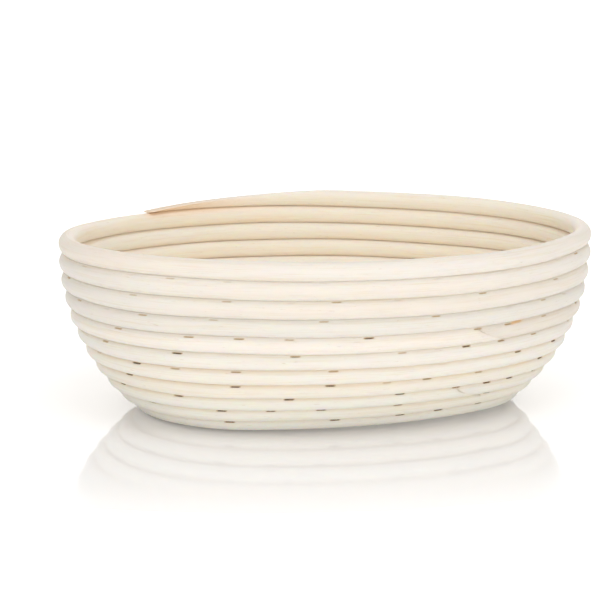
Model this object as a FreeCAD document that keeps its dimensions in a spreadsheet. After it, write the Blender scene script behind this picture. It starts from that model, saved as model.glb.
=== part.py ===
import FreeCAD, Part
import math
import os

# Oval banneton, a proofing basket coiled from rattan cane.
# One spiral starts in the middle of the flat base, runs out to the foot and climbs the wall to the rim.
# It is spliced from five lengths of cane with scarf joints, and each turn is stapled to the one inside
# or below it.  Units are millimetres.  +X is the long axis, +Z is up, and the origin lies on the floor
# under the middle of the basket.
#
# Places along the coil are counted in turns below the loose end at the rim: 0 is the end itself, 1 is
# one turn further down, and so on to the start of the cane in the middle of the base.

DIMENSIONS = {
    "cane_diameter": 6.7,
    "wall_pitch": 7.1,
    "base_turns_least": 4.7,
    "core_half_length": 34.5,
    "core_half_width": 0.6,
    "foot_belly": 5.5,
    "rim_tip": 44.0,
    "rim_half_width": 78.5,
    "rim_belly": 19.5,
    "rim_lean": 86.5,
    "foot_lean": 39.5,
    "straight_wall": 5.0,
    "wall_radius": 83.5,
    "foot_radius": 12.0,
    "sanded_depth": 0.3,
    "end_phase": 0.343,
    "tail_length": 85.0,
    "tail_tip": 0.8,
    "scarf_length": 15.0,
    "staple_crown": 4.0,
    "staple_leg": 10.0,
    "staple_width": 0.7,
    "staple_gauge": 0.5,
    "staple_sink": 0.1,
    "staple_spacing": 29.0,
    "staple_tilt": 68.0,
}

# Lengths of cane from the rim down, and the scarf joints between them as turns below the loose end.
CANES = ("rim_cane", "upper_wall_cane", "lower_wall_cane", "foot_cane", "base_cane")
SCARFS = (4.53, 6.1, 8.52, 12.6)
CORE_START = 0.06
FLARE = 1.2
END_ARC_SPANS = 2
SIDE_ARC_SPANS = 3
SCARF_SPARE = 0.3
CUTTER_WIDTH = 30.0
CUTTER_HEIGHT = 15.0
STAPLE_UNEVENNESS = 0.45
STAPLE_CLEARANCE = 8.0
FIRST_STAPLE = 0.1
SMALLEST = 0.000001
UP = FreeCAD.Vector(0, 0, 1)


def make_sheet(doc):
    """The spreadsheet with the driving dimensions, one alias to a row."""
    sheet = doc.addObject("Spreadsheet::Sheet", "Dimensions")
    for row, (name, value) in enumerate(DIMENSIONS.items(), start=1):
        sheet.set("A%d" % row, name)
        sheet.set("B%d" % row, str(value))
        sheet.setAlias("B%d" % row, name)
    doc.recompute()
    return sheet


class Coil:
    """The centre line of the coil, worked out from the spreadsheet."""

    def __init__(self, sheet):
        self.sheet = sheet
        self.radius = sheet.cane_diameter / 2
        self.rim_lean = math.radians(sheet.rim_lean)
        self.foot_lean = math.radians(sheet.foot_lean)
        self.wall_end = sheet.straight_wall + sheet.wall_radius * (self.rim_lean - self.foot_lean)
        foot_end = self.wall_end + sheet.foot_radius * self.foot_lean
        inset, drop = self.wall_section(foot_end)
        self.wall_turns = foot_end / sheet.wall_pitch
        self.base_half_width = sheet.rim_half_width - inset
        self.floor_height = self.radius - sheet.sanded_depth
        self.rim_height = self.floor_height + drop
        # The cane starts at the +X end of the core, so the coil is a whole number of turns and a phase.
        least = self.wall_turns + sheet.base_turns_least
        self.turns = math.ceil(least - sheet.end_phase) + sheet.end_phase
        self.base_turns = self.turns - self.wall_turns

    def wall_section(self, run):
        """Inset from the rim and drop below it, after a run down the wall's section."""
        sheet = self.sheet
        straight = min(run, sheet.straight_wall)
        inset = straight * math.cos(self.rim_lean)
        drop = straight * math.sin(self.rim_lean)
        if run > sheet.straight_wall:
            lean = self.rim_lean - (min(run, self.wall_end) - sheet.straight_wall) / sheet.wall_radius
            inset += sheet.wall_radius * (math.sin(self.rim_lean) - math.sin(lean))
            drop += sheet.wall_radius * (math.cos(lean) - math.cos(self.rim_lean))
        if run > self.wall_end:
            lean = self.foot_lean - (run - self.wall_end) / sheet.foot_radius
            inset += sheet.foot_radius * (math.sin(self.foot_lean) - math.sin(lean))
            drop += sheet.foot_radius * (math.cos(lean) - math.cos(self.foot_lean))
        return inset, drop

    def section(self, turn):
        """Half width of the oval and height of the centre line at this turn."""
        if turn >= self.wall_turns:
            growth = (self.base_half_width - self.sheet.core_half_width) / self.base_turns
            return self.sheet.core_half_width + growth * (self.turns - turn), self.floor_height
        inset, drop = self.wall_section(turn * self.sheet.wall_pitch)
        return self.sheet.rim_half_width - inset, self.rim_height - drop

    def oval(self, turn):
        """The oval's tip, belly and end radius.  Its sides bow out more and more towards the rim."""
        sheet = self.sheet
        half_width, height = self.section(turn)
        if turn >= self.wall_turns:
            tip = sheet.core_half_length
            belly = sheet.foot_belly * (self.turns - turn) / self.base_turns
        else:
            climb = max(height - self.floor_height, 0.0) / (self.rim_height - self.floor_height)
            climb = climb ** FLARE
            tip = sheet.core_half_length + (sheet.rim_tip - sheet.core_half_length) * climb
            belly = sheet.foot_belly + (sheet.rim_belly - sheet.foot_belly) * climb
        belly = max(belly, SMALLEST)
        return tip, belly, max(half_width - belly, SMALLEST)

    def half_oval(self, turn):
        """Side radius, end angle, and the runs of one end arc and one side arc of half the oval."""
        tip, belly, end_radius = self.oval(turn)
        core_radius = (tip * tip + belly * belly) / (2 * belly)
        side_angle = math.asin(tip / core_radius)
        end_angle = math.pi / 2 - side_angle
        side_radius = core_radius + end_radius
        return side_radius, end_angle, end_radius * end_angle, side_radius * 2 * side_angle

    def point(self, turn):
        """The centre line's point, counted along the oval from its +X end, anticlockwise."""
        tip, belly, end_radius = self.oval(turn)
        side_radius, end_angle, end_run, side_run = self.half_oval(turn)
        half_run = 2 * end_run + side_run
        run = ((self.sheet.end_phase - turn) % 1.0) * 2 * half_run
        far_half = run >= half_run
        if far_half:
            run -= half_run
        if run < end_run:
            angle = run / end_radius
            x = tip + end_radius * math.cos(angle)
            y = end_radius * math.sin(angle)
        elif run < end_run + side_run:
            angle = end_angle + (run - end_run) / side_radius
            x = side_radius * math.cos(angle)
            y = belly + end_radius - side_radius * (1 - math.sin(angle))
        else:
            angle = (half_run - run) / end_radius
            x = -tip - end_radius * math.cos(angle)
            y = end_radius * math.sin(angle)
        if far_half:
            x, y = -x, -y
        return FreeCAD.Vector(x, y, self.section(turn)[1])

    def axes(self, turn):
        """The cane's heading towards the rim, the way out of the wall, and the way to the next turn up."""
        step = 0.0001
        heading = (self.point(turn - step) - self.point(turn + step)).normalize()
        sideways = heading.cross(UP).normalize()
        width, height = self.section(turn)
        next_width, next_height = self.section(turn - step)
        upward = sideways * (next_width - width) + UP * (next_height - height)
        upward = (upward - heading * upward.dot(heading)).normalize()
        return heading, heading.cross(upward), upward

    def turn_after(self, turn, distance):
        """The turn this far along the cane, counted down the coil."""
        step = 0.01
        pace = (self.point(turn + step) - self.point(turn)).Length / step
        return turn + distance / pace

    def stations(self, lower, upper):
        """Turns where the centre line's arcs meet, from the lower end of a cane to its upper end."""
        found = [lower]
        half = 0
        while self.turns - half / 2 > upper:
            start = self.turns - half / 2
            end_run, side_run = self.half_oval(start - 0.25)[2:]
            runs = [end_run / END_ARC_SPANS] * END_ARC_SPANS
            runs += [side_run / SIDE_ARC_SPANS] * SIDE_ARC_SPANS
            runs += [end_run / END_ARC_SPANS] * END_ARC_SPANS
            for index in range(len(runs)):
                turn = start - sum(runs[:index]) / (2 * sum(runs))
                if upper + 0.01 < turn < lower - 0.01:
                    found.append(turn)
            half += 1
        found.append(upper)
        return found


def arc_between(start, heading, end):
    """The arc that leaves start along heading and passes through end."""
    chord = end - start
    square = heading.cross(chord)
    if square.Length < 0.0000001 * chord.Length:
        return Part.LineSegment(start, end).toShape()
    inward = square.cross(heading).normalize()
    radius = chord.dot(chord) / (2 * chord.dot(inward))
    centre = start + inward * radius
    middle = centre + ((start + end) * 0.5 - centre).normalize() * radius
    return Part.Arc(start, middle, end).toShape()


def arc_pair(start, start_heading, end, end_heading):
    """Two tangent arcs from one point and heading to another."""
    chord = end - start
    both = start_heading + end_heading
    spread = 2 * (1 - start_heading.dot(end_heading))
    along = chord.dot(both)
    if spread < SMALLEST:
        reach = chord.dot(chord) / (2 * along)
    else:
        reach = (math.sqrt(along * along + spread * chord.dot(chord)) - along) / spread
    corner = start + start_heading * reach
    far_corner = end - end_heading * reach
    middle = (corner + far_corner) * 0.5
    middle_heading = (far_corner - corner).normalize()
    return [arc_between(start, start_heading, middle), arc_between(middle, middle_heading, end)]


def placed_on(origin, x_axis, y_axis, z_axis):
    """A placement with these axes."""
    return FreeCAD.Placement(origin, FreeCAD.Rotation(x_axis, y_axis, z_axis, "ZXY"))


def make_route(doc, coil, name, lower, upper):
    """The centre line of one length of cane, as a chain of tangent arcs."""
    turns = coil.stations(lower, upper)
    edges = []
    for before, after in zip(turns, turns[1:]):
        edges += arc_pair(coil.point(before), coil.axes(before)[0], coil.point(after), coil.axes(after)[0])
    route = doc.addObject("Part::Feature", name + "_route")
    route.Shape = Part.Wire(edges)
    return route


def make_round_cane(doc, coil, name, lower, upper):
    """A round cane swept along its route."""
    route = make_route(doc, coil, name, lower, upper)
    ring = doc.addObject("Part::Circle", name + "_ring")
    ring.setExpression("Radius", "Dimensions.cane_diameter / 2")
    ring.Placement = FreeCAD.Placement(coil.point(lower), FreeCAD.Rotation(UP, coil.axes(lower)[0]))
    cane = doc.addObject("Part::Sweep", name + "_round")
    cane.Sections = [ring]
    cane.Spine = (route, ["Edge%d" % (index + 1) for index in range(len(route.Shape.Edges))])
    cane.Solid = True
    return cane


def make_cutter(doc, name, origin, x_axis, z_axis, length):
    """A block that stands on a plane through origin, centred on it and on the +Z side."""
    y_axis = z_axis.cross(x_axis)
    block = doc.addObject("Part::Box", name)
    block.Length = length
    block.Width = CUTTER_WIDTH
    block.Height = CUTTER_HEIGHT
    corner = origin - x_axis * (length / 2) - y_axis * (CUTTER_WIDTH / 2)
    block.Placement = placed_on(corner, x_axis, y_axis, z_axis)
    return block


def cut_away(doc, name, shape, tool):
    """One piece with another cut out of it."""
    cut = doc.addObject("Part::Cut", name)
    cut.Base = shape
    cut.Tool = tool
    return cut


def scarf_cutter(doc, coil, name, turn, side):
    """A cutter for one face of a scarf: side 1 trims the lower cane's end, -1 the upper cane's start."""
    heading, outward, upward = coil.axes(turn)
    slant = math.atan2(coil.sheet.cane_diameter, coil.sheet.scarf_length)
    down_slope = heading * math.cos(slant) - upward * math.sin(slant)
    square = outward.cross(down_slope)
    length = (coil.sheet.scarf_length + 3 * SCARF_SPARE) / math.cos(slant)
    return make_cutter(doc, name, coil.point(turn), down_slope, square * side, length)


def tail_cutter(doc, coil):
    """The cutter that slopes the last stretch of the rim down to a thin tip."""
    sheet = coil.sheet
    tail_start = coil.turn_after(0.0, sheet.tail_length)
    lift = coil.axes(tail_start / 2)[2]
    top = coil.point(tail_start) + lift * coil.radius
    tip = coil.point(0.0) + lift * (sheet.tail_tip - coil.radius)
    along = (tip - top).normalize()
    outward = along.cross(lift).normalize()
    return make_cutter(doc, "tail_cutter", (tip + top) * 0.5, along, outward.cross(along), sheet.tail_length * 1.5)


def make_canes(doc, coil):
    """All lengths of cane, cut to meet at the scarf joints, with the tail and the sanded foot."""
    sheet = coil.sheet
    spare = sheet.scarf_length / 2 + SCARF_SPARE
    floor = doc.addObject("Part::Box", "sanding_block")
    floor.setExpression("Length", "Dimensions.rim_half_width * 4")
    floor.setExpression("Width", "Dimensions.rim_half_width * 4")
    floor.setExpression("Height", "Dimensions.cane_diameter")
    floor.setExpression("Placement.Base.x", "-Dimensions.rim_half_width * 2")
    floor.setExpression("Placement.Base.y", "-Dimensions.rim_half_width * 2")
    floor.setExpression("Placement.Base.z", "-Dimensions.cane_diameter")
    ends = (0.0,) + SCARFS + (coil.turns - CORE_START,)
    for index, name in enumerate(CANES):
        upper, lower = ends[index], ends[index + 1]
        first = index == 0
        last = index == len(CANES) - 1
        sweep_upper = upper if first else coil.turn_after(upper, -spare)
        sweep_lower = lower if last else coil.turn_after(lower, spare)
        cane = make_round_cane(doc, coil, name, sweep_lower, sweep_upper)
        if first:
            cane = cut_away(doc, name + "_tailed", cane, tail_cutter(doc, coil))
        else:
            cutter = scarf_cutter(doc, coil, name + "_end_cutter", upper, 1)
            cane = cut_away(doc, name + "_end_cut", cane, cutter)
        if not last:
            cutter = scarf_cutter(doc, coil, name + "_start_cutter", lower, -1)
            cane = cut_away(doc, name + "_start_cut", cane, cutter)
        if lower > coil.wall_turns - 1:
            cane = cut_away(doc, name + "_sanded", cane, floor)
        cane.Label = name
    return list(CANES)


def make_staple(doc):
    """One staple, crown up, with the middle of its crown at the origin."""
    outside = doc.addObject("Part::Box", "staple_outside")
    outside.setExpression("Length", "Dimensions.staple_crown")
    outside.setExpression("Width", "Dimensions.staple_width")
    outside.setExpression("Height", "Dimensions.staple_leg")
    outside.setExpression("Placement.Base.x", "-Dimensions.staple_crown / 2")
    outside.setExpression("Placement.Base.y", "-Dimensions.staple_width / 2")
    outside.setExpression("Placement.Base.z", "-Dimensions.staple_leg")
    inside = doc.addObject("Part::Box", "staple_inside")
    inside.setExpression("Length", "Dimensions.staple_crown - 2 * Dimensions.staple_gauge")
    inside.setExpression("Width", "Dimensions.staple_width * 2")
    inside.setExpression("Height", "Dimensions.staple_leg")
    inside.setExpression("Placement.Base.x", "Dimensions.staple_gauge - Dimensions.staple_crown / 2")
    inside.setExpression("Placement.Base.y", "-Dimensions.staple_width")
    inside.setExpression("Placement.Base.z", "-Dimensions.staple_leg - Dimensions.staple_gauge")
    return cut_away(doc, "staple", outside, inside)


def staple_placement(coil, turn, driven_up):
    """Where a staple sits: driven down from the outer top of a turn, or up from its inner underside."""
    heading, outward, upward = coil.axes(turn)
    if driven_up:
        outward, upward = outward * -1, upward * -1
    tilt = math.radians(coil.sheet.staple_tilt)
    crown = (outward * math.cos(tilt) + upward * math.sin(tilt)) * (coil.radius - coil.sheet.staple_sink)
    rise = (crown + upward * coil.sheet.wall_pitch).normalize()
    return placed_on(coil.point(turn) + crown, heading, rise.cross(heading), rise)


def staple_turns(coil, first, last):
    """Places of one row's staples: unevenly spaced, and one over each end of a scarf."""
    scarfs = [scarf for scarf in SCARFS if int(scarf) == int(first)]
    reach = coil.sheet.scarf_length / 2
    ends = [coil.turn_after(scarf, side * reach) for scarf in scarfs for side in (-1, 1)]
    places = []
    turn = first
    count = 0
    while turn < last:
        count += 1
        if all((coil.point(turn) - coil.point(end)).Length > STAPLE_CLEARANCE for end in ends):
            places.append(turn)
        gap = coil.sheet.staple_spacing * (1 + STAPLE_UNEVENNESS * math.sin(7.3 * count + 2.9 * first))
        turn = coil.turn_after(turn, gap)
    return places + ends


def make_staple_rows(doc, coil, staple):
    """One node for each turn that is stapled to the next one down or in."""
    names = []
    for row in range(1, int(coil.turns)):
        first = row - 1 + FIRST_STAPLE
        last = min(row, coil.turns - 1)
        copies = []
        for turn in staple_turns(coil, first, last):
            seat = turn + 1 if row == 1 else turn
            copy = staple.Shape.copy()
            copy.Placement = staple_placement(coil, seat, row == 1)
            copies.append(copy)
        name = "staples_turn_%02d" % row
        group = doc.addObject("Part::Feature", name)
        group.Shape = Part.makeCompound(copies)
        group.Label = name
        names.append(name)
    return names


def check_and_export(doc, names):
    """Stops on any failed object or bad shape, then writes one file for each node."""
    for item in doc.Objects:
        if "Invalid" in item.State or "Error" in item.State:
            raise RuntimeError("%s failed: %s" % (item.Name, item.State))
    shapes = {}
    for name in names:
        shape = doc.getObjectsByLabel(name)[0].Shape
        if shape.isNull() or not shape.isValid() or not shape.Solids:
            raise RuntimeError("%s has no valid solid" % name)
        shapes[name] = shape
    os.makedirs("parts", exist_ok=True)
    for name, shape in shapes.items():
        shape.exportStep("parts/%s.step" % name)
        print("%-18s solids %2d  volume %8.1f mm3" % (name, len(shape.Solids), shape.Volume))


def main():
    doc = FreeCAD.newDocument("banneton")
    coil = Coil(make_sheet(doc))
    print("turns %.2f, of which %.2f in the wall" % (coil.turns, coil.wall_turns))
    names = make_canes(doc, coil)
    staple = make_staple(doc)
    doc.recompute()
    names += make_staple_rows(doc, coil, staple)
    doc.recompute()
    check_and_export(doc, names)


main()
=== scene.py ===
import math
import random

import bpy
import numpy as np
from mathutils import Matrix, Vector


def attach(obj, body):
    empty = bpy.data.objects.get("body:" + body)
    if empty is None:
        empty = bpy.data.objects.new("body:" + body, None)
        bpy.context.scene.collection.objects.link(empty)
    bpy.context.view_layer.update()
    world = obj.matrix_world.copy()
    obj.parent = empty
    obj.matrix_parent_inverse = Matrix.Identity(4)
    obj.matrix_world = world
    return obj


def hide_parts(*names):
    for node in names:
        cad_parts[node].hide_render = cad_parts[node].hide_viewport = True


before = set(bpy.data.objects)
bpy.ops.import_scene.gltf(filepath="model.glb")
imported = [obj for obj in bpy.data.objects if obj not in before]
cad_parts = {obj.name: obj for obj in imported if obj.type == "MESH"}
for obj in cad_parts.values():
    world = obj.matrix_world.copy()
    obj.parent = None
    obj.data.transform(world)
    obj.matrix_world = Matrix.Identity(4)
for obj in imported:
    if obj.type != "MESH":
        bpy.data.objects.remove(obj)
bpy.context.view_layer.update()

# Oval banneton coiled from rattan cane, seen on a glossy white table.  Units are metres.
#
# Places along the coil are counted in turns below the loose end at the rim: 0 is the end itself, 1 is
# one turn further down, and so on to the start of the cane in the middle of the base.
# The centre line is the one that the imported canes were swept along.

MM = 0.001

# The coil.
CANE_RADIUS = 3.35 * MM
WALL_PITCH = 7.1 * MM
BASE_TURNS_LEAST = 4.7
CORE_HALF_LENGTH = 34.5 * MM
CORE_HALF_WIDTH = 0.6 * MM
CORE_START = 0.06
FOOT_BELLY = 5.5 * MM
RIM_TIP = 44.0 * MM
RIM_HALF_WIDTH = 78.5 * MM
RIM_BELLY = 19.5 * MM
RIM_LEAN = math.radians(86.5)
FOOT_LEAN = math.radians(39.5)
STRAIGHT_WALL = 5.0 * MM
WALL_RADIUS = 83.5 * MM
FOOT_RADIUS = 12.0 * MM
SANDED_DEPTH = 0.3 * MM
FLARE = 1.2
END_PHASE = 0.343
TAIL_LENGTH = 85.0 * MM
TAIL_TIP = 0.3 * MM

# The lengths of cane from the rim down, and the scarf joints between them.
CANES = ("rim_cane", "upper_wall_cane", "lower_wall_cane", "foot_cane", "base_cane")
SCARFS = (4.53, 6.1, 8.52, 12.6)
SCARF_LENGTH = 15.0 * MM
SEAM_MARK = 0.12
SEAM_OVERLAP = 0.3 * MM
SEAM_WIDTH = 2.5 * MM
CUT_ROUGHNESS = 0.05 * MM
TAIL_ROUNDING = 0.35 * MM

# An orange streak on the rim cane beside its scarf, and a blush on the turn under the tail.
STREAK_START = 7.8 * MM
STREAK_LENGTH = 8.5 * MM
STREAK_MIDDLE = math.radians(66)
STREAK_SLANT = math.radians(10)
STREAK_HALF_WIDTH = math.radians(10)
STREAK_MARK = 2.0
BLUSH_MIDDLE = math.radians(100)
BLUSH_HALF_WIDTH = math.radians(45)
BLUSH_MARK = 0.9
BLUSH_START = 0.99
BLUSH_FULL = 1.0
BLUSH_WANING = 1.03
BLUSH_END = 1.13

# The staples.
STAPLE_CROWN = 4.0 * MM
STAPLE_LEG = 10.0 * MM
STAPLE_WIDTH = 0.6 * MM
STAPLE_GAUGE = 0.5 * MM
STAPLE_SINK = 0.2 * MM
STAPLE_BEND = 0.5 * MM
STAPLE_SPACING = 29.0 * MM
STAPLE_UNEVENNESS = 0.45
STAPLE_BEAT = 7.3
ROW_BEAT = 2.9
STAPLE_CLEARANCE = 8.0 * MM
STAPLE_TILT = math.radians(68.0)
FIRST_STAPLE = 0.1
STAPLE_ASKEW = math.radians(2.5)
SQUARENESS = 0.6
CHISELLED_SHARE = 0.25
SLOT_DEPTH = 0.55 * MM
SLOT_HALF_LENGTH = 2.15 * MM
SLOT_HALF_WIDTH = 0.42 * MM
SLOT_CLOSED_SHARE = 0.3
SLOT_LONG_FADE = (7 / 15, 17 / 15)
SLOT_WIDE_FADE = (9 / 16, 19 / 16)
CLOSED_OVER = 0.35 * MM

# How open the staples' slots are: 0 is closed over, 1 is open and darkest with painted shade.
RIM_OPENNESS = 0.1
LEAST_OPENNESS = 0.12
OPENNESS_PER_ROW = 0.075
OPENNESS_SPREAD = 0.2

# How finely the centre line is sampled, in turns, and the canes are meshed.  Angles are in degrees.
SPINE_STEP = 0.001
NEIGHBOUR_SEARCH = 0.02
NEIGHBOUR_TRIES = 41
COARSE_STEP = 1.3 * MM
FINE_STEP = 0.42 * MM
FINE_REACH = 4.0 * MM
FINE_ANGLE = 5.5
COARSE_ANGLE = 14.0
FINE_HALF_SPAN = 24.0
CANE_CREASE = math.radians(38)
WIRE_CREASE = math.radians(50)

# How far real cane departs from the ideal.  Lengths of waves are in metres along the cane.
WANDER = 0.22 * MM
PULLED_IN = 1.6
FLOOR_BLEND = 6.0 * MM
THINNED = 0.985
UNEVEN = 0.007
OUT_OF_ROUND = (
    # lobes, share of the radius, twist, lengths of the twist's waves, seed
    (2, 0.006, 2, (0.31, 0.17), 22),
    (3, 0.004, 3, (0.23, 0.11), 23),
    (7, 0.002, 2, (0.09,), 24),
)

# How the turns touch: closer, with shallower grooves, near the rim than near the foot. The grooves get
# painted shade, which near the rim turns to paler painted light.
TIGHT_ABOVE = 1.5
LOOSE_BELOW = 7.5
TIGHT_FILL = 0.045
LEAST_SWELL = -0.3 * MM
MOST_SWELL = 0.5 * MM
LOOSE_SHARPNESS = 3.0
TIGHT_BROADENING = 1.2
INNER_GROOVE_SHADE = 0.8
RIM_TOUCH_FADE = 0.02
CORE_TOUCH_FADE = 0.05

# The table top and the studio lights: name, place, target, size in metres and power in watts.
TABLE_REACH = 40.0
TABLE_RINGS = 6
TABLE_SPOKES = 48
SOFTBOXES = (
    ("front_softbox", (-0.42, -1.42, 0.30), (0.0, 0.0, 0.03), 0.6, 4.8),
    ("top_softbox", (-0.12, -0.40, 0.95), (0.0, 0.03, 0.04), 0.4, 1.5),
)
SOFTBOX_COLOUR = (0.975, 0.985, 1.0)
STUDIO_COLOUR = (1.0, 0.985, 0.96, 1.0)

# Away from the camera, level with the table.
BACK_OF_STUDIO = (0.407, 0.913, 0.0)

# Keeps divisions clear of 0.
SMALLEST = 1e-9


def unit(vectors):
    """Each row made one long."""
    return vectors / np.linalg.norm(vectors, axis=-1, keepdims=True)


def dots(left, right):
    """Row by row dot products."""
    return np.sum(left * right, axis=-1)


def ease(values):
    """0 below 0, 1 above 1 and a smooth rise between."""
    values = np.clip(values, 0.0, 1.0)
    return values * values * (3 - 2 * values)


def fade(distances, full, none):
    """1 up to full, 0 from none on and a smooth fall between."""
    return ease((none - distances) / (none - full))


def soft_least(left, right, rounding):
    """The lesser of two values, with a rounded corner where they cross."""
    return (left + right - np.sqrt((left - right) ** 2 + rounding ** 2)) / 2


def waves(places, lengths, seed):
    """A smooth irregular curve between about -1 and 1, made of waves of these lengths."""
    chance = random.Random(seed)
    total = np.zeros_like(places)
    for length in lengths:
        total += np.sin(places * (2 * math.pi / length) + chance.uniform(0, 2 * math.pi))
    return total / math.sqrt(2 * len(lengths))


class Coil:
    """The coil's ideal centre line.  Its methods take arrays."""

    def __init__(self):
        self.wall_end = STRAIGHT_WALL + WALL_RADIUS * (RIM_LEAN - FOOT_LEAN)
        foot_end = self.wall_end + FOOT_RADIUS * FOOT_LEAN
        inset, drop = self.wall_section(foot_end)
        self.wall_turns = foot_end / WALL_PITCH
        self.base_half_width = RIM_HALF_WIDTH - inset
        self.floor_height = CANE_RADIUS - SANDED_DEPTH
        self.rim_height = self.floor_height + drop
        self.turns = math.ceil(self.wall_turns + BASE_TURNS_LEAST - END_PHASE) + END_PHASE
        self.base_turns = self.turns - self.wall_turns

    def wall_section(self, run):
        """Inset from the rim and drop below it, after a run down the wall's section."""
        straight = np.minimum(run, STRAIGHT_WALL)
        lean = RIM_LEAN - np.clip(run - STRAIGHT_WALL, 0, self.wall_end - STRAIGHT_WALL) / WALL_RADIUS
        foot = FOOT_LEAN - np.maximum(run - self.wall_end, 0) / FOOT_RADIUS
        inset = straight * math.cos(RIM_LEAN) + WALL_RADIUS * (math.sin(RIM_LEAN) - np.sin(lean))
        inset += FOOT_RADIUS * (math.sin(FOOT_LEAN) - np.sin(foot))
        drop = straight * math.sin(RIM_LEAN) + WALL_RADIUS * (np.cos(lean) - math.cos(RIM_LEAN))
        drop += FOOT_RADIUS * (np.cos(foot) - math.cos(FOOT_LEAN))
        return inset, drop

    def section(self, turn):
        """Half width of the oval and height of the centre line at each turn."""
        in_base = turn >= self.wall_turns
        inset, drop = self.wall_section(np.minimum(turn, self.wall_turns) * WALL_PITCH)
        growth = (self.base_half_width - CORE_HALF_WIDTH) / self.base_turns
        base_width = CORE_HALF_WIDTH + growth * (self.turns - turn)
        return np.where(in_base, base_width, RIM_HALF_WIDTH - inset), self.rim_height - drop

    def oval(self, turn):
        """The oval's tip, belly and end radius.  Its sides bow out more and more towards the rim."""
        half_width, height = self.section(turn)
        climb = np.maximum(height - self.floor_height, 0) / (self.rim_height - self.floor_height)
        climb = climb ** FLARE
        tip = CORE_HALF_LENGTH + (RIM_TIP - CORE_HALF_LENGTH) * climb
        base_belly = FOOT_BELLY * np.minimum((self.turns - turn) / self.base_turns, 1.0)
        belly = np.maximum(base_belly + (RIM_BELLY - FOOT_BELLY) * climb, SMALLEST)
        return tip, belly, np.maximum(half_width - belly, SMALLEST)

    def point(self, turn):
        """The centre line's points, counted along the oval from its +X end, anticlockwise."""
        tip, belly, end_radius = self.oval(turn)
        core_radius = (tip * tip + belly * belly) / (2 * belly)
        side_angle = np.arcsin(tip / core_radius)
        end_angle = math.pi / 2 - side_angle
        side_radius = core_radius + end_radius
        end_run = end_radius * end_angle
        side_run = side_radius * 2 * side_angle
        half_run = 2 * end_run + side_run
        run = ((END_PHASE - turn) % 1.0) * 2 * half_run
        far_half = run >= half_run
        run = np.where(far_half, run - half_run, run)
        near_angle = run / end_radius
        side = end_angle + (run - end_run) / side_radius
        end_turn = (half_run - run) / end_radius
        on_side = (run >= end_run) & (run < end_run + side_run)
        at_far_end = run >= end_run + side_run
        x = np.where(on_side, side_radius * np.cos(side), tip + end_radius * np.cos(near_angle))
        y = np.where(on_side, belly + end_radius - side_radius * (1 - np.sin(side)),
                     end_radius * np.sin(near_angle))
        x = np.where(at_far_end, -tip - end_radius * np.cos(end_turn), x)
        y = np.where(at_far_end, end_radius * np.sin(end_turn), y)
        mirrored = np.where(far_half, -1.0, 1.0)
        return np.stack([x * mirrored, y * mirrored, self.section(turn)[1]], axis=-1)

    def axes(self, turn):
        """The cane's heading towards the rim, the way out of the wall, and the way to the next turn up."""
        step = 0.0001
        heading = unit(self.point(turn - step) - self.point(turn + step))
        sideways = unit(np.cross(heading, (0.0, 0.0, 1.0)))
        width, height = self.section(turn)
        next_width, next_height = self.section(turn - step)
        upward = sideways * (next_width - width)[:, None]
        upward[:, 2] += next_height - height
        upward = unit(upward - heading * dots(upward, heading)[:, None])
        return heading, np.cross(heading, upward), upward


class Spine:
    """The coil as it really lies: finely sampled, a little uneven, with the distance run along it."""

    def __init__(self, coil):
        self.coil = coil
        self.turn = np.arange(coil.turns - CORE_START, 0.0, -SPINE_STEP)
        ideal = coil.point(self.turn)
        steps = np.linalg.norm(np.diff(ideal, axis=0), axis=1)
        self.run = np.concatenate([[0.0], np.cumsum(steps)])
        outward, upward = coil.axes(self.turn)[1:]
        inwards = 0.5 * WANDER * (waves(self.run, (0.083, 0.131, 0.057), 11) - PULLED_IN)
        along_wall = 0.6 * WANDER * waves(self.run, (0.097, 0.061), 12)
        off_floor = ease((coil.section(self.turn)[1] - coil.floor_height) / FLOOR_BLEND)
        shift = outward * (inwards * off_floor)[:, None] + upward * (along_wall * off_floor)[:, None]
        self.place = ideal + shift

    def run_at(self, turn):
        """Distance run along the cane from the core to these turns."""
        return np.interp(turn, self.turn[::-1], self.run[::-1])

    def turn_at(self, run):
        """The turns at these distances from the core."""
        return np.interp(run, self.run, self.turn)

    def place_at(self, turn):
        """The points of the uneven centre line at these turns."""
        turns = self.turn[::-1]
        places = self.place[::-1]
        return np.stack([np.interp(turn, turns, places[:, axis]) for axis in range(3)], axis=-1)

    def neighbour(self, turn, side, outward, upward):
        """Half the way to the cane one turn up (side -1) or down (1), and its angle round the section."""
        here = self.place_at(turn)
        nearest = np.full(turn.shape, np.inf)
        direction = np.zeros_like(here)
        core = self.coil.turns - CORE_START
        for slip in np.linspace(-NEIGHBOUR_SEARCH, NEIGHBOUR_SEARCH, NEIGHBOUR_TRIES):
            other = self.place_at(np.clip(turn + side + slip, 0.0, core)) - here
            distance = np.linalg.norm(other, axis=1)
            closer = distance < nearest
            nearest = np.where(closer, distance, nearest)
            direction[closer] = other[closer]
        angle = np.arctan2(dots(direction, upward), dots(direction, outward))
        return nearest / 2, angle


def staple_places(spine):
    """For each row, the seats of its staples as turns.  The rim's row is driven up from below."""
    rows = []
    for row in range(1, int(spine.coil.turns)):
        first = row - 1 + FIRST_STAPLE
        last = min(row, spine.coil.turns - 1)
        ends = [spine.run_at(scarf) for scarf in SCARFS if int(scarf) == row - 1]
        ends = [float(run + side * SCARF_LENGTH / 2) for run in ends for side in (-1, 1)]
        runs = []
        turn = first
        count = 0
        while turn < last:
            count += 1
            run = float(spine.run_at(turn))
            if all(abs(run - end) > STAPLE_CLEARANCE for end in ends):
                runs.append(run)
            beat = math.sin(STAPLE_BEAT * count + ROW_BEAT * first)
            gap = STAPLE_SPACING * (1 + STAPLE_UNEVENNESS * beat)
            turn = float(spine.turn_at(run - gap))
        seats = [float(spine.turn_at(run)) for run in runs + ends]
        rows.append([turn + 1 for turn in seats] if row == 1 else seats)
    return rows


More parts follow.
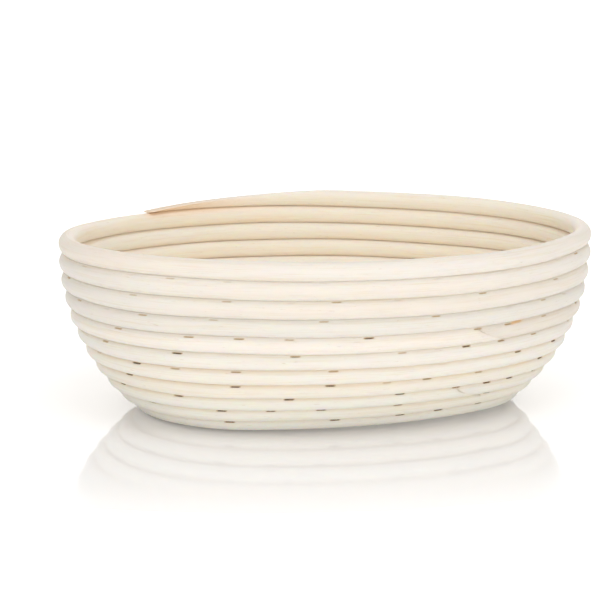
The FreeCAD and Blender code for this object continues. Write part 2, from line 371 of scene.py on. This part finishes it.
def openness(row, turn):
    """How open the slot of a staple is: mostly closed over at the rim, open near the foot, where painted
    shade makes it dark.
    """
    if row == 0:
        return RIM_OPENNESS
    chance = random.Random(int(turn * 10000))
    open_share = LEAST_OPENNESS + OPENNESS_PER_ROW * row + chance.gauss(0, OPENNESS_SPREAD)
    return min(max(open_share, LEAST_OPENNESS), 1.0)


def column_angles():
    """Angles round the section, close together where the staples sit on each side."""
    half = []
    first = math.degrees(STAPLE_TILT) - FINE_HALF_SPAN
    angle = first
    while angle < first + 180 - 0.4 * COARSE_ANGLE:
        half.append(angle)
        fine = angle < math.degrees(STAPLE_TILT) + FINE_HALF_SPAN
        angle += FINE_ANGLE if fine else COARSE_ANGLE
    return np.radians(np.array(half + [angle + 180 for angle in half]))


def row_runs(first, last, staple_runs):
    """Distances of the mesh's rings, close together at the staples."""
    runs = [first]
    near = np.sort(np.array(staple_runs))
    while runs[-1] < last - 0.5 * FINE_STEP:
        distance = np.min(np.abs(near - runs[-1])) if len(near) else 1.0
        step = FINE_STEP if distance < FINE_REACH else COARSE_STEP
        runs.append(min(runs[-1] + step, last))
    return np.array(runs)


def apart(angles, angle):
    """Signed difference between angles, from -pi to pi."""
    return (angles - angle + math.pi) % (2 * math.pi) - math.pi


class CaneMesh:
    """One length of cane, as rings of points round the uneven centre line.

    Its marks_and_shading values are how open a staple's slot is, which also sets the painted shade in it,
    how much painted shade darkens the grooves (below 0, how much painted light pales them), and how bare
    the cane was cut, where a value from 1 to 2 turns orange.  Its touch is 1 at a neighbour.
    """

    def __init__(self, spine, name, upper, lower, seats):
        self.spine = spine
        self.name = name
        self.at_rim = upper == 0.0
        self.at_core = lower > SCARFS[-1]
        half_scarf = SCARF_LENGTH / 2
        self.upper_run = float(spine.run_at(upper))
        self.lower_run = float(spine.run_at(lower))
        start = self.lower_run - (0.0 if self.at_core else half_scarf)
        end = self.upper_run + (0.0 if self.at_rim else half_scarf)
        self.seats = [(float(spine.run_at(turn)), angle, share) for turn, angle, share in seats]
        self.seats = [seat for seat in self.seats if start - FINE_REACH < seat[0] < end + FINE_REACH]
        self.runs = row_runs(start, end, [seat[0] for seat in self.seats])
        self.angles = column_angles()
        self.turns = spine.turn_at(self.runs)
        self.outward, self.upward = spine.coil.axes(self.turns)[1:]
        self.marks_and_shading = np.zeros((len(self.runs), len(self.angles), 3))
        self.touch = np.zeros((len(self.runs), len(self.angles)))
        self.shape_section()
        self.press_slots()
        self.cut_ends()
        self.stain()
        self.lay_points()

    def shape_section(self):
        """The radius all round: nearly round, and swollen to meet the turns above and below."""
        spine = self.spine
        runs = self.runs[:, None]
        angles = self.angles[None, :]
        radius = THINNED + UNEVEN * waves(runs, (0.19, 0.073, 0.117), 21)
        for lobes, amount, twist, lengths, seed in OUT_OF_ROUND:
            radius = radius + amount * np.cos(lobes * angles + twist * waves(runs, lengths, seed))
        self.radius = CANE_RADIUS * radius
        tight = fade(self.turns, TIGHT_ABOVE, LOOSE_BELOW)
        last_neighboured = spine.coil.turns - CORE_START - 1.0
        exists_above = ease((self.turns - 1.0) / RIM_TOUCH_FADE)
        exists_below = fade(self.turns, last_neighboured - CORE_TOUCH_FADE, last_neighboured)
        for side, exists in ((-1, exists_above), (1, exists_below)):
            reach, angle = spine.neighbour(self.turns, side, self.outward, self.upward)
            facing = np.maximum(np.cos(apart(angles, angle[:, None])), 0.0)
            swell = reach - CANE_RADIUS * (THINNED - TIGHT_FILL * tight)
            swell = np.clip(swell, LEAST_SWELL, MOST_SWELL) * exists
            sharpness = LOOSE_SHARPNESS - TIGHT_BROADENING * tight[:, None]
            self.radius += swell[:, None] * facing ** sharpness
            self.touch = np.maximum(self.touch, facing ** 4 * exists[:, None])
        # Painted shade in the grooves where turns touch; on the outside near the rim it turns to paler
        # painted light.
        outer = ease(0.5 + np.cos(angles))
        outer_groove_shading = 1 - 2 * tight[:, None]
        self.marks_and_shading[:, :, 1] = self.touch * (outer * outer_groove_shading + (1 - outer) * INNER_GROOVE_SHADE)

    def press_slots(self):
        """A narrow dent for each staple, where its crown was driven into the cane, with painted shade in
        it.
        """
        for run, angle, open_share in self.seats:
            along = np.abs(self.runs - run)[:, None] / SLOT_HALF_LENGTH
            across = np.abs(apart(self.angles, angle))[None, :] * CANE_RADIUS / SLOT_HALF_WIDTH
            slot = fade(along, *SLOT_LONG_FADE) * fade(across, *SLOT_WIDE_FADE)
            depth = SLOT_DEPTH * (SLOT_CLOSED_SHARE + (1 - SLOT_CLOSED_SHARE) * open_share)
            self.radius -= depth * slot
            # Painted shade in the dent, darker the more open the slot.
            self.marks_and_shading[:, :, 0] = np.maximum(self.marks_and_shading[:, :, 0], slot * open_share)

    def cut_ends(self):
        """Local coordinates of the section, trimmed by the scarf cuts and the skived tail."""
        self.out = self.radius * np.cos(self.angles)
        self.up = self.radius * np.sin(self.angles)
        slope = 2 * CANE_RADIUS / SCARF_LENGTH
        rough = CUT_ROUGHNESS * waves(self.runs, (2.3 * MM, 3.7 * MM), 41)
        if not self.at_core:
            least = (-(self.runs - self.lower_run) * slope + rough - SEAM_OVERLAP)[:, None]
            self.mark_cut(SEAM_MARK * fade(self.up - least, 0.0, SEAM_WIDTH))
            self.up = np.maximum(self.up, least)
        if self.at_rim:
            share = (self.upper_run - self.runs) / TAIL_LENGTH
            most = (TAIL_TIP - CANE_RADIUS + (2 * CANE_RADIUS - TAIL_TIP) * share + rough)[:, None]
            near_tip = fade(share, 0.0, 0.75)[:, None]
            self.mark_cut(near_tip * fade(most - self.up, 0.6 * MM, 3.6 * MM))
            self.up = soft_least(self.up, most, TAIL_ROUNDING)
        else:
            most = (-(self.runs - self.upper_run) * slope + rough + SEAM_OVERLAP)[:, None]
            self.mark_cut(SEAM_MARK * fade(most - self.up, 0.0, SEAM_WIDTH))
        self.up = np.minimum(self.up, most)

    def mark_cut(self, amount):
        """Marks warmer, barer pith where the cane was cut."""
        self.marks_and_shading[:, :, 2] = np.maximum(self.marks_and_shading[:, :, 2], amount)

    def stain(self):
        """The streak beside the rim cane's scarf and the blush under the tail."""
        along = self.runs - float(self.spine.run_at(SCARFS[0])) - STREAK_START
        along = along / STREAK_LENGTH
        middle = STREAK_MIDDLE + along * STREAK_SLANT
        across = np.abs(apart(self.angles[None, :], middle[:, None])) / STREAK_HALF_WIDTH
        streak = ease(2.2 * (1 - np.abs(along * 2 - 1)))[:, None] * fade(across, 0.4, 1.4)
        self.marks_and_shading[:, :, 2] += STREAK_MARK * streak
        beneath = ease((self.turns - BLUSH_START) / (BLUSH_FULL - BLUSH_START))
        beneath = beneath * fade(self.turns, BLUSH_WANING, BLUSH_END)
        across = np.abs(apart(self.angles, BLUSH_MIDDLE)) / BLUSH_HALF_WIDTH
        self.mark_cut(BLUSH_MARK * beneath[:, None] * fade(across, 0.3, 1.3)[None, :])

    def lay_points(self):
        """The points in space, flattened where the base was sanded."""
        centre = self.spine.place_at(self.turns)
        points = centre[:, None, :] + self.outward[:, None, :] * self.out[:, :, None]
        points = points + self.upward[:, None, :] * self.up[:, :, None]
        points[:, :, 2] = np.maximum(points[:, :, 2], 0.0)
        self.points = points

    def make(self):
        """The Blender object, closed at both ends."""
        rings, columns = self.points.shape[:2]
        index = np.arange(rings * columns).reshape(rings, columns)
        here = index[:-1]
        after = index[1:]
        quads = np.stack([here, np.roll(here, -1, axis=1), np.roll(after, -1, axis=1), after], axis=-1)
        faces = quads.reshape(-1, 4).tolist()
        faces.append(index[0][::-1].tolist())
        faces.append(index[-1].tolist())
        mesh = bpy.data.meshes.new(self.name + "_fibre")
        mesh.from_pydata(self.points.reshape(-1, 3).tolist(), [], faces)
        along = np.broadcast_to(self.runs[:, None], (rings, columns))
        across = np.broadcast_to(self.angles[None, :], (rings, columns))
        own = np.stack([along, CANE_RADIUS * np.cos(across), CANE_RADIUS * np.sin(across)], axis=-1)
        for name, kind, field, values in (("cane", "FLOAT_VECTOR", "vector", own),
                                          ("marks_and_shading", "FLOAT_VECTOR", "vector", self.marks_and_shading),
                                          ("touch", "FLOAT", "value", self.touch)):
            layer = mesh.attributes.new(name, kind, "POINT")
            layer.data.foreach_set(field, np.ascontiguousarray(values, dtype=np.float32).ravel())
        mesh.polygons.foreach_set("use_smooth", [True] * len(mesh.polygons))
        mesh.set_sharp_from_angle(angle=CANE_CREASE)
        cane = bpy.data.objects.new(self.name + "_fibre", mesh)
        bpy.context.collection.objects.link(cane)
        return cane


# ---------------------------------------------------------------- materials

class Nodes:
    """A material's node tree, with short ways to add the nodes used here."""

    def __init__(self, name):
        self.material = bpy.data.materials.new(name)
        self.material.use_nodes = True
        self.tree = self.material.node_tree
        self.shader = self.tree.nodes["Principled BSDF"]

    def add(self, kind, **settings):
        node = self.tree.nodes.new(kind)
        for name, value in settings.items():
            setattr(node, name, value)
        return node

    def link(self, source, target):
        self.tree.links.new(source, target)

    def feed(self, target, value):
        """Links an output to a socket, or sets the socket's own value."""
        if isinstance(value, bpy.types.NodeSocket):
            self.link(value, target)
        else:
            target.default_value = value

    def attribute(self, name, output="Vector"):
        return self.add("ShaderNodeAttribute", attribute_name=name).outputs[output]

    def stretch(self, vector, scale):
        node = self.add("ShaderNodeVectorMath", operation="MULTIPLY")
        self.link(vector, node.inputs[0])
        node.inputs[1].default_value = scale
        return node.outputs[0]

    def noise(self, vector, detail=2.0, roughness=0.5):
        node = self.add("ShaderNodeTexNoise", noise_dimensions="3D")
        self.link(vector, node.inputs["Vector"])
        node.inputs["Scale"].default_value = 1.0
        node.inputs["Detail"].default_value = detail
        node.inputs["Roughness"].default_value = roughness
        return node.outputs["Fac"]

    def ramp(self, value, low, high):
        """0 at low, 1 at high, smooth between.  Low may be the greater of the two."""
        node = self.add("ShaderNodeMapRange", interpolation_type="SMOOTHSTEP")
        self.link(value, node.inputs["Value"])
        node.inputs["From Min"].default_value = low
        node.inputs["From Max"].default_value = high
        return node.outputs["Result"]

    def math(self, operation, *values):
        node = self.add("ShaderNodeMath", operation=operation)
        for number, value in enumerate(values):
            self.feed(node.inputs[number], value)
        return node.outputs[0]

    def mix(self, factor, first, second, blend="MIX"):
        node = self.add("ShaderNodeMix", data_type="RGBA", blend_type=blend)
        self.feed(node.inputs[0], factor)
        self.feed(node.inputs[6], first)
        self.feed(node.inputs[7], second)
        return node.outputs[2]

    def bump(self, height, distance, strength=1.0):
        node = self.add("ShaderNodeBump")
        node.inputs["Strength"].default_value = strength
        node.inputs["Distance"].default_value = distance
        self.link(height, node.inputs["Height"])
        self.link(node.outputs["Normal"], self.shader.inputs["Normal"])


def grey(value):
    return (value, value, value, 1.0)


def rattan_material(name, body, warm, cool):
    """Peeled rattan: pale pith with lengthwise fibres, pores and slow changes of tint, with painted shade
    in the grooves and staple slots, and painted light paling the grooves near the rim and lifting the side
    that faces the basket's inside.

    Noise is stretched by its scales per metre along the cane and across it.
    """
    nodes = Nodes(name)
    own = nodes.attribute("cane")
    parts = nodes.add("ShaderNodeSeparateXYZ")
    nodes.link(nodes.attribute("marks_and_shading"), parts.inputs[0])
    slot, groove_shading, cut = parts.outputs
    sides = nodes.add("ShaderNodeSeparateXYZ")
    nodes.link(own, sides.inputs[0])
    # Mask of the side of each cane that faces the basket's inside, where painted light lifts the colour.
    inner_painted_light = nodes.ramp(sides.outputs["Y"], 0.25 * CANE_RADIUS, -0.85 * CANE_RADIUS)

    tone = nodes.noise(nodes.stretch(own, (4.1, 90.0, 90.0)), 1.0)
    shade = nodes.noise(nodes.stretch(own, (2.3, 60.0, 60.0)), 2.0)
    streak = nodes.noise(nodes.stretch(own, (17.0, 620.0, 620.0)), 3.0, 0.6)
    fibre = nodes.noise(nodes.stretch(own, (55.0, 2600.0, 2600.0)), 3.0, 0.65)
    pore = nodes.noise(nodes.stretch(own, (330.0, 4200.0, 4200.0)), 1.0)

    colour = nodes.mix(nodes.ramp(tone, 0.42, 0.66), body, warm)
    colour = nodes.mix(nodes.ramp(shade, 0.45, 0.68), colour, cool)
    # Real stains and tints, with painted shade and painted light among them.
    stains_and_painted_shading = (
        (nodes.ramp(streak, 0.5, 0.78), 1.0, (0.955, 0.925, 0.86, 1.0)),
        (nodes.ramp(fibre, 0.48, 0.8), 1.0, (0.94, 0.905, 0.83, 1.0)),
        (nodes.ramp(pore, 0.70, 0.82), 0.6, (0.72, 0.62, 0.48, 1.0)),
        # Painted shade in the grooves where canes touch, and painted light paling the grooves near the rim
        # below 0.
        (nodes.ramp(groove_shading, 0.0, 1.0), 1.0, (0.93, 0.875, 0.79, 1.0)),
        (nodes.ramp(groove_shading, 0.0, -1.0), 1.0, (1.09, 1.08, 1.07, 1.0)),
        # Painted light: the side facing the basket's inside made brighter and warmer than the rest.
        (inner_painted_light, 1.0, (1.19, 1.13, 1.09, 1.0)),
        (cut, 1.0, (0.99, 0.87, 0.74, 1.0)),
    )
    for mask, strength, tint in stains_and_painted_shading:
        tint = nodes.mix(mask, grey(1.0), tint)
        colour = nodes.mix(strength, colour, tint, "MULTIPLY")
    colour = nodes.mix(nodes.ramp(cut, 1.0, 2.0), colour, (0.80, 0.54, 0.30, 1.0))
    # Painted shade in the staples' slot dents: brown at their edges, near black in the open ones.
    colour = nodes.mix(nodes.ramp(slot, 0.05, 0.45), colour, (0.62, 0.47, 0.30, 1.0))
    colour = nodes.mix(nodes.ramp(slot, 0.45, 0.95), colour, (0.17, 0.10, 0.05, 1.0))

    nodes.link(colour, nodes.shader.inputs["Base Color"])
    nodes.link(nodes.math("MULTIPLY_ADD", streak, 0.25, 0.42), nodes.shader.inputs["Roughness"])
    nodes.shader.inputs["Specular IOR Level"].default_value = 0.3
    # Light that seeps into a neighbouring cane is lost, so where canes meet they are opaque.
    touch = nodes.attribute("touch", "Fac")
    free = nodes.math("MULTIPLY", nodes.ramp(cut, SEAM_MARK, 0.0), nodes.ramp(touch, 0.9, 0.3))
    nodes.link(nodes.math("MULTIPLY", free, 0.6), nodes.shader.inputs["Subsurface Weight"])
    nodes.shader.inputs["Subsurface Radius"].default_value = (1.0, 0.7, 0.4)
    nodes.shader.inputs["Subsurface Scale"].default_value = 2.2 * MM
    height = nodes.math("ADD", fibre, nodes.math("MULTIPLY", streak, 0.8))
    height = nodes.math("SUBTRACT", height, nodes.math("MULTIPLY", nodes.ramp(pore, 0.66, 0.8), 0.4))
    nodes.bump(height, 0.12 * MM)
    return nodes.material


def staple_material():
    """Thin steel wire gone brown in damp dough baskets."""
    nodes = Nodes("staple_steel")
    place = nodes.add("ShaderNodeTexCoord").outputs["Object"]
    speckle = nodes.noise(nodes.stretch(place, (900.0, 900.0, 900.0)), 4.0, 0.6)
    colour = nodes.mix(nodes.ramp(speckle, 0.4, 0.65), (0.20, 0.14, 0.085, 1.0), (0.36, 0.29, 0.21, 1.0))
    nodes.link(colour, nodes.shader.inputs["Base Color"])
    nodes.shader.inputs["Metallic"].default_value = 0.55
    nodes.link(nodes.ramp(speckle, 0.9, 0.2), nodes.shader.inputs["Roughness"])
    nodes.bump(speckle, 0.05 * MM)
    return nodes.material


def table_material():
    """White table: glossy near the basket, duller and glowing white further off."""
    nodes = Nodes("white_table")
    place = nodes.add("ShaderNodeTexCoord").outputs["Object"]
    away = nodes.add("ShaderNodeVectorMath", operation="LENGTH")
    nodes.link(nodes.stretch(place, (0.85, 1.15, 0.0)), away.inputs[0])
    far = nodes.ramp(away.outputs["Value"], 0.11, 0.24)
    mottle = nodes.noise(nodes.stretch(place, (30.0, 30.0, 30.0)), 3.0)
    rough = nodes.math("MULTIPLY_ADD", far, 0.5, 0.035)
    rough = nodes.math("ADD", rough, nodes.math("MULTIPLY", mottle, 0.02))
    nodes.link(rough, nodes.shader.inputs["Roughness"])
    nodes.shader.inputs["Base Color"].default_value = (0.91, 0.91, 0.92, 1.0)
    nodes.shader.inputs["Emission Color"].default_value = (1.0, 1.0, 1.0, 1.0)
    glow = nodes.math("MULTIPLY_ADD", nodes.ramp(away.outputs["Value"], 0.10, 0.28), 0.36, 0.08)
    nodes.link(glow, nodes.shader.inputs["Emission Strength"])
    nodes.shader.inputs["Specular IOR Level"].default_value = 0.5
    return nodes.material


# ---------------------------------------------------------------- pieces

def make_canes(spine, rows):
    """All five lengths of cane, each with its own body, warm and cool tint."""
    seats = []
    for row, turns in enumerate(rows):
        angle = STAPLE_TILT + (math.pi if row == 0 else 0.0)
        seats += [(turn, angle, openness(row, turn)) for turn in turns]
    tints = {
        "rim_cane": ((0.845, 0.80, 0.74, 1), (0.855, 0.79, 0.71, 1), (0.83, 0.80, 0.735, 1)),
        "upper_wall_cane": ((0.92, 0.873, 0.81, 1), (0.925, 0.86, 0.785, 1), (0.905, 0.87, 0.80, 1)),
        "lower_wall_cane": ((0.955, 0.902, 0.828, 1), (0.96, 0.888, 0.79, 1), (0.935, 0.90, 0.82, 1)),
        "foot_cane": ((0.968, 0.92, 0.838, 1), (0.968, 0.905, 0.80, 1), (0.95, 0.912, 0.825, 1)),
        "base_cane": ((0.93, 0.88, 0.79, 1), (0.93, 0.865, 0.755, 1), (0.91, 0.88, 0.79, 1)),
    }
    ends = (0.0,) + SCARFS + (spine.coil.turns - CORE_START,)
    for number, name in enumerate(CANES):
        cane = CaneMesh(spine, name, ends[number], ends[number + 1], seats).make()
        cane.data.materials.append(rattan_material(name + "_rattan", *tints[name]))
        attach(cane, "root")
        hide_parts(name)


def staple_outline():
    """The wire's middle line in its own plane, from one leg's tip over the crown to the other's."""
    half = STAPLE_CROWN / 2 - STAPLE_GAUGE / 2
    top = -STAPLE_GAUGE / 2
    path = [(-half, top - STAPLE_LEG + STAPLE_GAUGE), (-half, top - 3 * STAPLE_BEND)]
    for step in range(5):
        angle = math.pi - step * math.pi / 8
        path.append((-half + STAPLE_BEND + STAPLE_BEND * math.cos(angle),
                     top - STAPLE_BEND + STAPLE_BEND * math.sin(angle)))
    return path + [(-x, z) for x, z in reversed(path)]


def make_staple_mesh():
    """Points and faces of one staple, crown up, as wire with rounded edges and chiselled tips."""
    corners = 8
    path = staple_outline()
    points = []
    faces = []
    for number, (x, z) in enumerate(path):
        before = path[max(number - 1, 0)]
        after = path[min(number + 1, len(path) - 1)]
        angle = math.atan2(after[1] - before[1], after[0] - before[0])
        tip = number in (0, len(path) - 1)
        for corner in range(corners):
            turn = (corner + 0.5) * 2 * math.pi / corners
            squeeze = 1.0 / max(abs(math.cos(turn)), abs(math.sin(turn))) ** SQUARENESS
            thick = 0.5 * STAPLE_GAUGE * squeeze * math.cos(turn) * (CHISELLED_SHARE if tip else 1.0)
            wide = 0.5 * STAPLE_WIDTH * squeeze * math.sin(turn)
            points.append((x - math.sin(angle) * thick, wide, z + math.cos(angle) * thick))
    for number in range(len(path) - 1):
        for corner in range(corners):
            after = (corner + 1) % corners
            low = number * corners
            faces.append((low + corner, low + corners + corner, low + corners + after, low + after))
    faces.append(tuple(range(corners)))
    faces.append(tuple(reversed(range(len(points) - corners, len(points)))))
    return points, faces


def staple_matrix(spine, row, turn, chance):
    """Where a staple sits, a little askew, and deeper where its slot has closed over."""
    place = np.array([turn])
    heading, outward, upward = (Vector(axis[0]) for axis in spine.coil.axes(place))
    if row == 0:
        outward, upward = -outward, -upward
    crown = outward * math.cos(STAPLE_TILT) + upward * math.sin(STAPLE_TILT)
    sink = STAPLE_SINK + CLOSED_OVER * (1.0 - openness(row, turn))
    rise = (crown * (CANE_RADIUS - sink) + upward * WALL_PITCH).normalized()
    spot = Vector(spine.place_at(place)[0]) + crown * (CANE_RADIUS - sink)
    axes = Matrix((heading, rise.cross(heading), rise)).transposed().to_4x4()
    askew = Matrix.Rotation(chance.gauss(0, STAPLE_ASKEW), 4, "Z")
    return Matrix.Translation(spot) @ axes @ askew


def make_staples(spine, rows):
    """One piece for each row of staples."""
    steel = staple_material()
    shape, sides = make_staple_mesh()
    for row, turns in enumerate(rows):
        chance = random.Random(100 + row)
        points = []
        faces = []
        for turn in turns:
            matrix = staple_matrix(spine, row, turn, chance)
            first = len(points)
            points += [matrix @ Vector(point) for point in shape]
            faces += [tuple(first + corner for corner in side) for side in sides]
        name = "staples_turn_%02d" % (row + 1)
        mesh = bpy.data.meshes.new(name + "_wire")
        mesh.from_pydata(points, [], faces)
        mesh.polygons.foreach_set("use_smooth", [True] * len(mesh.polygons))
        mesh.set_sharp_from_angle(angle=WIRE_CREASE)
        mesh.materials.append(steel)
        staples = bpy.data.objects.new(name + "_wire", mesh)
        bpy.context.collection.objects.link(staples)
        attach(staples, "root")
        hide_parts(name)


# ---------------------------------------------------------------- stage, light and camera

def make_table():
    """A wide round table top, level with the basket's foot."""
    points = [(0.0, 0.0, 0.0)]
    faces = []
    for ring in range(1, TABLE_RINGS + 1):
        reach = TABLE_REACH * (ring / TABLE_RINGS) ** 3
        for spoke in range(TABLE_SPOKES):
            angle = spoke * 2 * math.pi / TABLE_SPOKES
            points.append((reach * math.cos(angle), reach * math.sin(angle), 0.0))
    for spoke in range(TABLE_SPOKES):
        after = (spoke + 1) % TABLE_SPOKES
        faces.append((0, 1 + spoke, 1 + after))
        for ring in range(TABLE_RINGS - 1):
            low = 1 + ring * TABLE_SPOKES
            high = low + TABLE_SPOKES
            faces.append((low + spoke, high + spoke, high + after, low + after))
    mesh = bpy.data.meshes.new("table")
    mesh.from_pydata(points, [], faces)
    mesh.materials.append(table_material())
    table = bpy.data.objects.new("table", mesh)
    bpy.context.collection.objects.link(table)


def add_area_light(name, place, target, size, power):
    lamp = bpy.data.lights.new(name, "AREA")
    lamp.shape = "SQUARE"
    lamp.size = size
    lamp.energy = power
    lamp.color = SOFTBOX_COLOUR
    light = bpy.data.objects.new(name, lamp)
    bpy.context.collection.objects.link(light)
    light.visible_camera = False
    light.location = place
    light.rotation_euler = (Vector(target) - Vector(place)).to_track_quat("-Z", "Y").to_euler()


def light_scene():
    """A white studio: a bright back wall, a softer ceiling, dimmer sides, and two softboxes."""
    world = bpy.data.worlds.new("studio")
    world.use_nodes = True
    tree = world.node_tree
    direction = tree.nodes.new("ShaderNodeTexCoord")
    ceiling = tree.nodes.new("ShaderNodeSeparateXYZ")
    tree.links.new(direction.outputs["Generated"], ceiling.inputs[0])
    behind = tree.nodes.new("ShaderNodeVectorMath")
    behind.operation = "DOT_PRODUCT"
    behind.inputs[1].default_value = BACK_OF_STUDIO
    tree.links.new(direction.outputs["Generated"], behind.inputs[0])
    total = tree.nodes.new("ShaderNodeMath")
    total.operation = "ADD"
    limits = ("From Min", "From Max", "To Min", "To Max")
    sources = (
        (ceiling.outputs["Z"], (0.1, 0.7, 0.45, 0.78)),
        (behind.outputs["Value"], (0.78, 0.97, 0.0, 1.0)),
    )
    for number, (source, values) in enumerate(sources):
        strength = tree.nodes.new("ShaderNodeMapRange")
        strength.interpolation_type = "SMOOTHSTEP"
        for name, value in zip(limits, values):
            strength.inputs[name].default_value = value
        tree.links.new(source, strength.inputs["Value"])
        tree.links.new(strength.outputs["Result"], total.inputs[number])
    tree.links.new(total.outputs[0], tree.nodes["Background"].inputs["Strength"])
    tree.nodes["Background"].inputs["Color"].default_value = STUDIO_COLOUR
    bpy.context.scene.world = world
    for softbox in SOFTBOXES:
        add_area_light(*softbox)
    bpy.context.scene.view_settings.view_transform = "Standard"


def add_camera():
    """The camera of the photograph: low in front of the basket, and a little to one side."""
    yaw = math.radians(24.0)
    elevation = math.radians(10.670)
    roll = math.radians(1.497)
    distance = 825.0 * MM
    aim_right = -11.07 * MM
    aim_up = 4.72 * MM
    aim_height = 35.0 * MM
    focal_share = 3.5367

    def turned(x, y, z):
        return Vector((x * math.cos(yaw) + y * math.sin(yaw), y * math.cos(yaw) - x * math.sin(yaw), z))

    right = turned(1, 0, 0)
    up = turned(0, math.sin(elevation), math.cos(elevation))
    forward = turned(0, math.cos(elevation), -math.sin(elevation))
    place = right * aim_right + up * aim_up - forward * distance + Vector((0, 0, aim_height))
    rolled_right = right * math.cos(roll) + up * math.sin(roll)
    rolled_up = up * math.cos(roll) - right * math.sin(roll)
    lens = bpy.data.cameras.new("camera")
    lens.sensor_width = 36.0
    lens.lens = lens.sensor_width * focal_share
    camera = bpy.data.objects.new("camera", lens)
    bpy.context.collection.objects.link(camera)
    axes = Matrix((rolled_right, rolled_up, -forward)).transposed().to_4x4()
    camera.matrix_world = Matrix.Translation(place) @ axes
    bpy.context.scene.camera = camera


coil_spine = Spine(Coil())
staple_rows = staple_places(coil_spine)
make_canes(coil_spine, staple_rows)
make_staples(coil_spine, staple_rows)
make_table()
light_scene()
add_camera()
